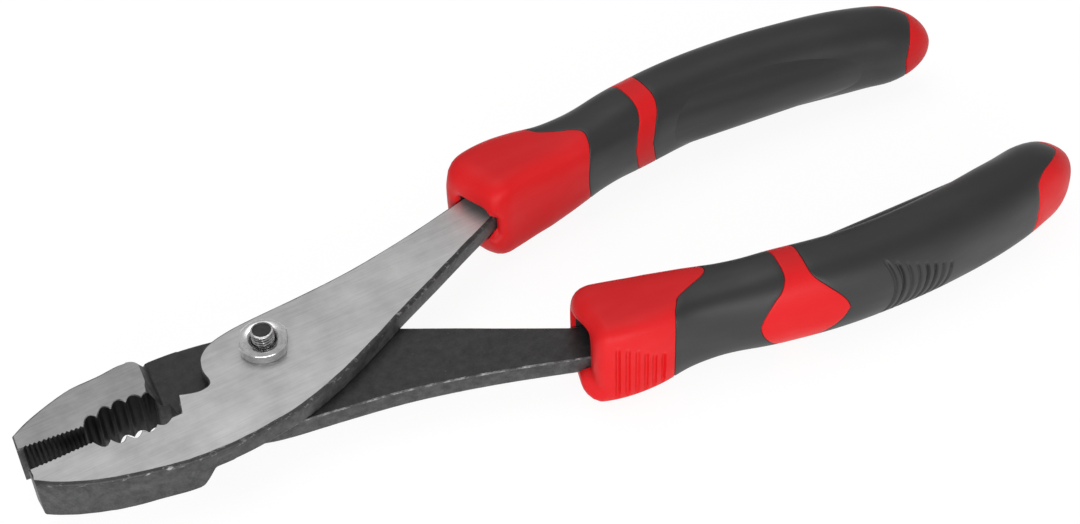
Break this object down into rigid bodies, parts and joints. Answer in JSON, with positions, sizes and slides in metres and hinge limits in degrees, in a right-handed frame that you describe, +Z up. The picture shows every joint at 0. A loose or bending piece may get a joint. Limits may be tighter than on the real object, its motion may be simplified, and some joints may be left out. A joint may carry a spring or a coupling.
{
  "type": "slip joint pliers",
  "caption": "Slip joint pliers: lapped forged steel levers on a sliding pivot bolt, jaws with fine teeth and a curved pipe grip, and bowed soft moulded grips.",
  "frame": {"origin": "on the pivot axis, at the flat face of the pivot bolt's head under the lower lever", "axes": "+X from the pivot to the handles along the line between the jaws, +Y to the side of the upper lever's handle, +Z up from the lower lever to the upper lever"},
  "size_m": [0.2601, 0.0915, 0.0276],
  "materials": {
    "ground_steel": "forged steel with a ground and brushed upper face",
    "black_steel": "forged steel with a black oxide finish",
    "pivot_steel": "polished plated steel",
    "red_grip": "satin moulded plastic",
    "dark_grip": "matt soft overmould"
  },
  "bodies": {
    "lower_arm": {"lower_lever": "black_steel", "lower_grip_core": "red_grip", "lower_front_sleeve": "dark_grip", "lower_rear_sleeve": "dark_grip"},
    "pivot": {"pivot_bolt": "pivot_steel", "pivot_nut": "pivot_steel"},
    "upper_arm": {"upper_lever": "ground_steel", "upper_grip_core": "red_grip", "upper_front_sleeve": "dark_grip", "upper_rear_sleeve": "dark_grip"}
  },
  "joints": [
    {"name": "pivot_slip", "type": "slide", "parent": "lower_arm", "child": "pivot", "axis": [-0.0523, -0.9986, 0], "range_m": [0, 0.009]},
    {"name": "jaw_pivot", "type": "hinge", "parent": "pivot", "child": "upper_arm", "pos_m": [0, 0, 0], "axis": [0, 0, 1], "range_deg": [-6, 40]}
  ]
}
